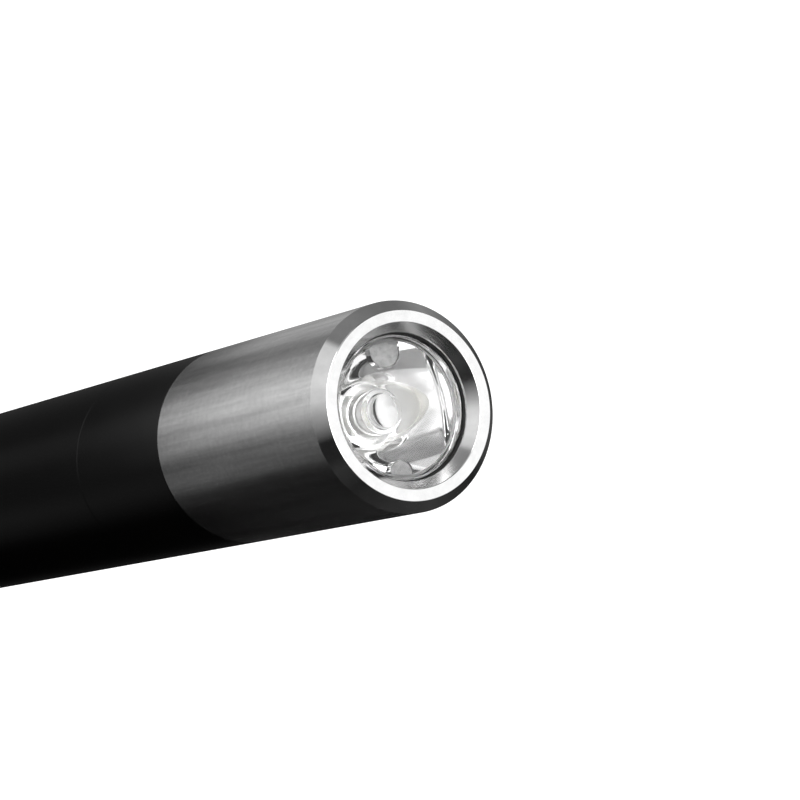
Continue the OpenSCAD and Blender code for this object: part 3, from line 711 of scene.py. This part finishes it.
def cutAway(piece, solid, sharp=35):
    # the solid is taken out of the piece, and the edges that this makes stay sharp
    mesh = bpy.data.meshes.new("cutter")
    mesh.from_pydata((solid[0] * mm).tolist(), [], solid[1])
    cutter = bpy.data.objects.new("cutter", mesh)
    scene.collection.objects.link(cutter)
    change = piece.modifiers.new("cut", "BOOLEAN")
    change.operation = "DIFFERENCE"
    change.solver = "EXACT"
    change.object = cutter
    view = bpy.context.evaluated_depsgraph_get()
    result = bpy.data.meshes.new_from_object(piece.evaluated_get(view))
    piece.modifiers.clear()
    piece.data = result
    bpy.data.objects.remove(cutter)
    result.polygons.foreach_set("use_smooth", np.ones(len(result.polygons), bool))
    result.set_sharp_from_angle(angle=math.radians(sharp))


opticSizes = {"flange": 5.4, "flangeTop": 1.4, "flangeBottom": 2.5, "rim": 4.75, "rimRise": 0.3,
              "rimFlat": 0.1, "rimBevel": 0.22, "dish": 0.36, "front": 4.64, "back": 2.05, "length": 5.2,
              "bulge": 1.0, "wallSteps": 60, "pocket": ((1.6, 0), (1.55, 2.85), (1.18, 2.9), (1.15, 4.0)),
              "pocketCrown": 0.3, "crownSteps": 16, "pocketEdge": 0.1, "backEdge": 0.04, "frontEdge": 0.05,
              "play": 0.05}
tongueSizes = {"width": (2.2, 1.7), "end": (2.75, 3.4), "reach": 5.25, "thick": 0.9, "turn": 95,
               "arcPoints": 24, "edge": 0.08}
holderSizes = {"outer": 5.4, "low": 128.5, "high": 135.46, "gap": 0.15, "edge": 0.05, "segments": 192}


def opticWall(size, gap):
    # the wall is a parabola, r^2 rising evenly from the back to the front
    share = np.linspace(0, 1, size["wallSteps"])
    parabola = np.sqrt(size["back"] ** 2 + (size["front"] ** 2 - size["back"] ** 2) * share)
    cone = size["back"] + (size["front"] - size["back"]) * share
    height = faceHeight - size["flangeBottom"] - size["length"] * (1 - share)
    return np.stack([cone + (parabola - cone) * size["bulge"] + gap, height], -1)


def buildOptic(size):
    # the pocket for the light source narrows in steps and ends in a crown of 1 - (r / edge)^2
    top = faceHeight
    dishTop = top - size["flangeTop"] + size["rimRise"] - size["dish"]
    backTop = top - size["flangeBottom"] - size["length"]
    wall = opticWall(size, 0)
    out = np.linspace(0, 1, size["crownSteps"])
    pocket = np.array(size["pocket"])[::-1] + [0, backTop]
    crown = np.stack([pocket[0, 0] * out, pocket[0, 1] - size["pocketCrown"] * (1 - out ** 2)], -1)
    rimTop = top - size["flangeTop"] + size["rimRise"]
    front = np.array([(size["flange"], top - size["flangeBottom"]), (size["flange"], top - size["flangeTop"]),
                      (size["rim"], top - size["flangeTop"]), (size["rim"], rimTop),
                      (size["rim"] - size["rimFlat"], rimTop),
                      (size["rim"] - size["rimFlat"] - size["rimBevel"], dishTop), (0, dishTop)])
    corners = np.concatenate([crown[:-1], pocket, wall, front])
    rounding = np.zeros(len(corners))
    firstWall = len(out) - 1 + len(pocket)
    rounding[len(out) - 1:firstWall] = size["pocketEdge"]
    rounding[firstWall] = size["backEdge"]
    rounding[-len(front):-1] = size["frontEdge"]
    optic = turnedPiece("clearOptic", roundedOutline(corners, rounding), finishes["clear_optic"])
    flangeLow = top - size["flangeBottom"]
    slotLow = flangeLow - tongueSizes["thick"] - size["play"]
    cutAway(optic, tongueShapes(tongueSizes, size["play"], slotLow, flangeLow))
    return dress(optic, "barrel", "clear_optic", "tir_lens")


def buildHolder(size):
    wall = opticWall(opticSizes, size["gap"])[::-1]
    outside = [(wall[-1, 0], size["low"]), (size["outer"], size["low"]), (size["outer"], size["high"])]
    corners = np.concatenate([outside, wall])
    rounding = np.zeros(len(corners))
    rounding[:len(outside) + 1] = size["edge"]
    ring = turnedPiece("opticHolder", roundedOutline(corners, rounding), finishes["coated_plastic"],
                       size["segments"])
    points, faces = tongueShapes(tongueSizes, 0, size["high"] - tongueSizes["thick"], size["high"])
    tongues = meshObject("opticTongues", points, faces, finishes["bare_plastic"], False)
    soften(tongues, tongueSizes["edge"])
    for piece in (ring, tongues):
        dress(piece, "barrel", "coated_plastic", "lens_holder")


def soften(piece, width, steps=2, sharp=40):
    edge = piece.modifiers.new("edges", "BEVEL")
    edge.width = width * mm
    edge.segments = steps
    edge.limit_method = "ANGLE"
    edge.angle_limit = math.radians(sharp)
    edge.harden_normals = True
    piece.data.polygons.foreach_set("use_smooth", np.ones(len(piece.data.polygons), bool))
    piece.data.set_sharp_from_angle(angle=math.radians(sharp))


gasketSizes = {"outer": 5.4, "inner": 4.8, "low": 136.6, "high": 137.0, "edge": 0.06}
collarSizes = {"low": 103.3, "high": 116.0, "spigotEnd": 124.0, "skirt": 6.2, "body": 7.0, "spigot": 6.15,
               "sinkBore": 4.95, "sinkStep": 112.95, "bore": 5.35, "barrelEnd": 109.35, "seam": 0.05,
               "edge": 0.02, "seal": (0.5, 1.1, 0.4)}
barrelSizes = {"low": 24.0, "high": 103.3, "spigot": 6.15, "spigotLength": 6.0, "bore": 5.35, "body": 7.0,
               "seam": 0.05, "clipGroove": (27.9, 33.1, 6.65), "edge": 0.02, "seal": (0.5, 1.1, 0.4)}
threadSizes = {"pitch": 0.7, "depth": 0.22, "rootFlat": 1.5, "flank": 4.2, "fade": 0.5, "crestPlay": 1e-4,
               "margin": 0.2, "step": 0.08, "segments": 192}
capSizes = {"high": 24.0, "hole": 3.68, "body": 7.0, "chamfer": 0.6, "skirt": 6.2, "skirtLow": 14.85,
            "bore": 5.4, "lip": 1.8, "seam": 0.05, "grooves": (7.8, 9.9, 12.0, 14.1, 16.2),
            "grooveWidth": 0.9, "grooveDepth": 0.3, "edge": 0.06}
buttonSizes = {"top": 0.3, "edge": 0.55, "radius": 3.6, "flange": 4.7, "flangeLow": 1.85, "flangeHigh": 2.6,
               "ring": 2.7, "ringWidth": 0.35, "ringDepth": 0.06, "corner": 0.18, "cornerSteps": 6,
               "crownSteps": 60, "segments": 160}


def buildGasket(size):
    corners = [(size["inner"], size["low"]), (size["outer"], size["low"]), (size["outer"], size["high"]),
               (size["inner"], size["high"])]
    piece = turnedPiece("lensGasket", roundedOutline(corners, size["edge"]), finishes["dark_rubber"])
    return dress(piece, "barrel", "dark_rubber", "lens_gasket")


def sealCorners(size, shoulder, way):
    # the seal's groove in a spigot, from the shoulder outwards
    near, far, deep = size["seal"]
    inner = size["spigot"] - deep
    return [(size["spigot"], shoulder + way * near), (inner, shoulder + way * near),
            (inner, shoulder + way * far), (size["spigot"], shoulder + way * far)]


def threaded(name, corners, size, zones, material):
    outline = roundedOutline(corners, size["edge"])
    for low, high in zones:
        outline = denser(outline, low, high, size["spigot"], threadSizes["step"])
    shape = threadShape(zones, size["spigot"], threadSizes)
    return turnedPiece(name, outline, finishes[material], threadSizes["segments"], shape)


def buildCollar(size):
    low, high, seam = size["low"], size["high"], size["seam"]
    corners = [(size["skirt"], low), (size["body"] - seam, low), (size["body"], low + seam),
               (size["body"], high - seam), (size["body"] - seam, high), (size["spigot"], high)]
    corners += sealCorners(size, high, 1)
    corners += [(size["spigot"], size["spigotEnd"]), (size["sinkBore"], size["spigotEnd"]),
                (size["sinkBore"], size["sinkStep"]), (size["bore"], size["sinkStep"]),
                (size["bore"], size["barrelEnd"]), (size["skirt"], size["barrelEnd"])]
    margin = threadSizes["margin"]
    zones = [(high + size["seal"][1] + margin, size["spigotEnd"] - margin)]
    piece = threaded("headCollar", corners, size, zones, "black_anodised")
    return dress(piece, "barrel", "black_anodised", "head_collar")


def buildBarrel(size):
    low, high, seam, reach = size["low"], size["high"], size["seam"], size["spigotLength"]
    grooveLow, grooveHigh, grooveRadius = size["clipGroove"]
    corners = [(size["bore"], low - reach), (size["spigot"], low - reach)]
    corners += sealCorners(size, low, -1)[::-1]
    corners += [(size["spigot"], low), (size["body"] - seam, low), (size["body"], low + seam),
                (size["body"], grooveLow), (grooveRadius, grooveLow), (grooveRadius, grooveHigh),
                (size["body"], grooveHigh), (size["body"], high - seam), (size["body"] - seam, high),
                (size["spigot"], high)]
    corners += sealCorners(size, high, 1)
    corners += [(size["spigot"], high + reach), (size["bore"], high + reach)]
    margin = threadSizes["margin"]
    zones = [(low - reach + margin, low - size["seal"][1] - margin),
             (high + size["seal"][1] + margin, high + reach - margin)]
    piece = threaded("lightBarrel", corners, size, zones, "black_anodised")
    return dress(piece, "barrel", "black_anodised", "barrel")


def buildCap(size):
    corners = [(size["hole"], 0), (size["body"] - size["chamfer"], 0), (size["body"], size["chamfer"])]
    half = size["grooveWidth"] / 2
    for middle in size["grooves"]:
        corners += [(size["body"], middle - half), (size["body"] - size["grooveDepth"], middle - half),
                    (size["body"] - size["grooveDepth"], middle + half), (size["body"], middle + half)]
    corners += [(size["body"], size["high"] - size["seam"]), (size["body"] - size["seam"], size["high"]),
                (size["skirt"], size["high"]), (size["skirt"], size["skirtLow"]),
                (size["bore"], size["skirtLow"]), (size["bore"], size["lip"]), (size["hole"], size["lip"])]
    piece = turnedPiece("tailCap", roundedOutline(corners, size["edge"]), finishes["black_anodised"])
    return dress(piece, "tail_cap", "black_anodised", "tail_cap")


def buildButton(size):
    # crown: height = edge - (edge - top)(1 - (r / radius)^2), with one shallow ring of depth times a
    # smooth bell
    out = np.linspace(1, 0, size["crownSteps"])
    reach = size["radius"] * out
    bell = np.exp(-((reach - size["ring"]) / (size["ringWidth"] / 2)) ** 2)
    crown = size["edge"] - (size["edge"] - size["top"]) * (1 - out ** 2) + size["ringDepth"] * bell
    corners = np.concatenate([[(0, size["flangeHigh"]), (size["flange"], size["flangeHigh"]),
                               (size["flange"], size["flangeLow"]), (size["radius"], size["flangeLow"])],
                              np.stack([reach, crown], -1)])
    rounding = np.zeros(len(corners))
    rounding[1:5] = size["corner"]
    outline = roundedOutline(corners, rounding, size["cornerSteps"])
    piece = turnedPiece("tailButton", outline, finishes["black_rubber_button"], size["segments"])
    return dress(piece, "button", "black_rubber_button", "tail_button")


clipSizes = {"middle": 7.03, "low": 28.0, "high": 33.0, "tip": 69.0, "sheet": 0.6, "mouth": 80, "arm": 4.6,
             "root": 7.0, "rootHeight": 3.0, "fadeLength": 2.5, "standoff": 9.2, "tipDip": 1.05,
             "liftShare": 0.2, "dipShare": 0.86, "dipWidth": 0.13, "bulgeInner": 1.7, "bulgeOuter": 4.4,
             "crown": 0.12, "endCorner": 1.3, "endFit": 0.97, "endStart": 0.8, "endRun": 0.2, "edge": 0.1,
             "edgeSteps": 3, "fanAngle": 82, "fanColumns": 25, "sideColumns": 50, "bandRows": 17,
             "armRows": 110}


def ease(share):
    share = np.clip(share, 0, 1)
    return share ** 2 * (3 - 2 * share)


def buildClip(size):
    # one sheet in two parts: a band (R cos a, R sin a, z) with a bulge that lifts its middle, and an arm that
    # starts from the band's upper middle, lifts away by ease(share / liftShare), and dips once near the tip
    radius, low, high, tip = size["middle"], size["low"], size["high"], size["tip"]

    def middleLine(height):
        share = (height - low) / (tip - low)
        lifted = radius + (size["standoff"] - radius) * ease(share / size["liftShare"])
        dip = np.clip(1 - np.abs(share - size["dipShare"]) / size["dipWidth"], 0, 1)
        return lifted - size["tipDip"] * ease(dip)

    def bulge(side):
        return 1 - ease((np.abs(side) - size["bulgeInner"]) / (size["bulgeOuter"] - size["bulgeInner"]))

    fan = np.sin(np.radians(np.linspace(-size["fanAngle"], size["fanAngle"], size["fanColumns"])))
    middleColumns = np.arcsin(fan / fan[-1] * size["root"] / 2 / radius)
    halfTurn = math.radians(180 - size["mouth"] / 2)
    sideColumns = np.linspace(middleColumns[-1], halfTurn, size["sideColumns"])[1:]
    columns = np.concatenate([-sideColumns[::-1], middleColumns, sideColumns])
    rise = np.linspace(0, 1, size["bandRows"])
    angle, riseGrid = np.meshgrid(columns, rise, indexing="xy")
    height = low + (high - low) * riseGrid
    corner = size["endCorner"] * (1 - np.sqrt(1 - size["endFit"] * (2 * riseGrid - 1) ** 2)) / radius
    nearEnd = ease((np.abs(angle) / halfTurn - size["endStart"]) / size["endRun"])
    angle = angle - np.sign(angle) * corner * nearEnd
    side = radius * np.sin(angle)
    near = np.abs(angle) < math.pi / 2
    lift = (middleLine(height) - radius) * np.where(near, bulge(side), 0)
    band = np.stack([radius * np.cos(angle) + lift, side, height], -1)

    # the arm's rows; the last one is a half circle
    share = np.linspace(0, 1, size["armRows"])[1:, None]
    rootHalf, armHalf = size["root"] / 2, size["arm"] / 2
    across = (fan / fan[-1])[None]
    drop = armHalf * (1 - np.sqrt(1 - fan ** 2)) * ease((share - size["endStart"]) / size["endRun"])
    armHeight = high + (tip - high) * share - drop
    half = armHalf + (rootHalf - armHalf) * (1 - ease((armHeight - high) / size["rootHeight"]))
    armSide = half * across
    rootDrop = radius * (1 - np.sqrt(1 - (rootHalf * across / radius) ** 2)) \
        + (middleLine(np.array(high)) - radius) * (1 - bulge(rootHalf * across))
    fade = 1 - ease((armHeight - high) / (size["fadeLength"] * size["rootHeight"]))
    arm = np.stack([middleLine(armHeight) - rootDrop * fade - size["crown"] * across ** 2 * (1 - fade),
                    armSide, armHeight], -1)
    bandFaces = gridFaces(len(rise), len(columns), False, False)
    first, count = len(sideColumns), len(fan)
    topRow = (len(rise) - 1) * len(columns) + first + np.arange(count)
    armRows = len(rise) * len(columns) + np.arange(len(share) * count).reshape(-1, count)
    rows = np.concatenate([topRow[None], armRows])
    armFaces = np.stack([rows[:-1, :-1], rows[:-1, 1:], rows[1:, 1:], rows[1:, :-1]], -1).reshape(-1, 4)
    points = np.concatenate([band.reshape(-1, 3), arm.reshape(-1, 3)])
    faces = np.concatenate([bandFaces, armFaces]).tolist()
    clip = meshObject("pocketClip", points, faces, finishes["clip_steel"])
    thick = clip.modifiers.new("sheet", "SOLIDIFY")
    thick.thickness = size["sheet"] * mm
    thick.offset = 0
    thick.use_even_offset = True
    soften(clip, size["edge"], size["edgeSteps"])
    return dress(clip, "clip", "clip_steel", "pocket_clip")


buildBezel(bezelSizes)
buildOptic(opticSizes)
buildHolder(holderSizes)
buildGasket(gasketSizes)
buildCollar(collarSizes)
buildBarrel(barrelSizes)
buildCap(capSizes)
buildButton(buttonSizes)
buildClip(clipSizes)
print("turned pieces ready")
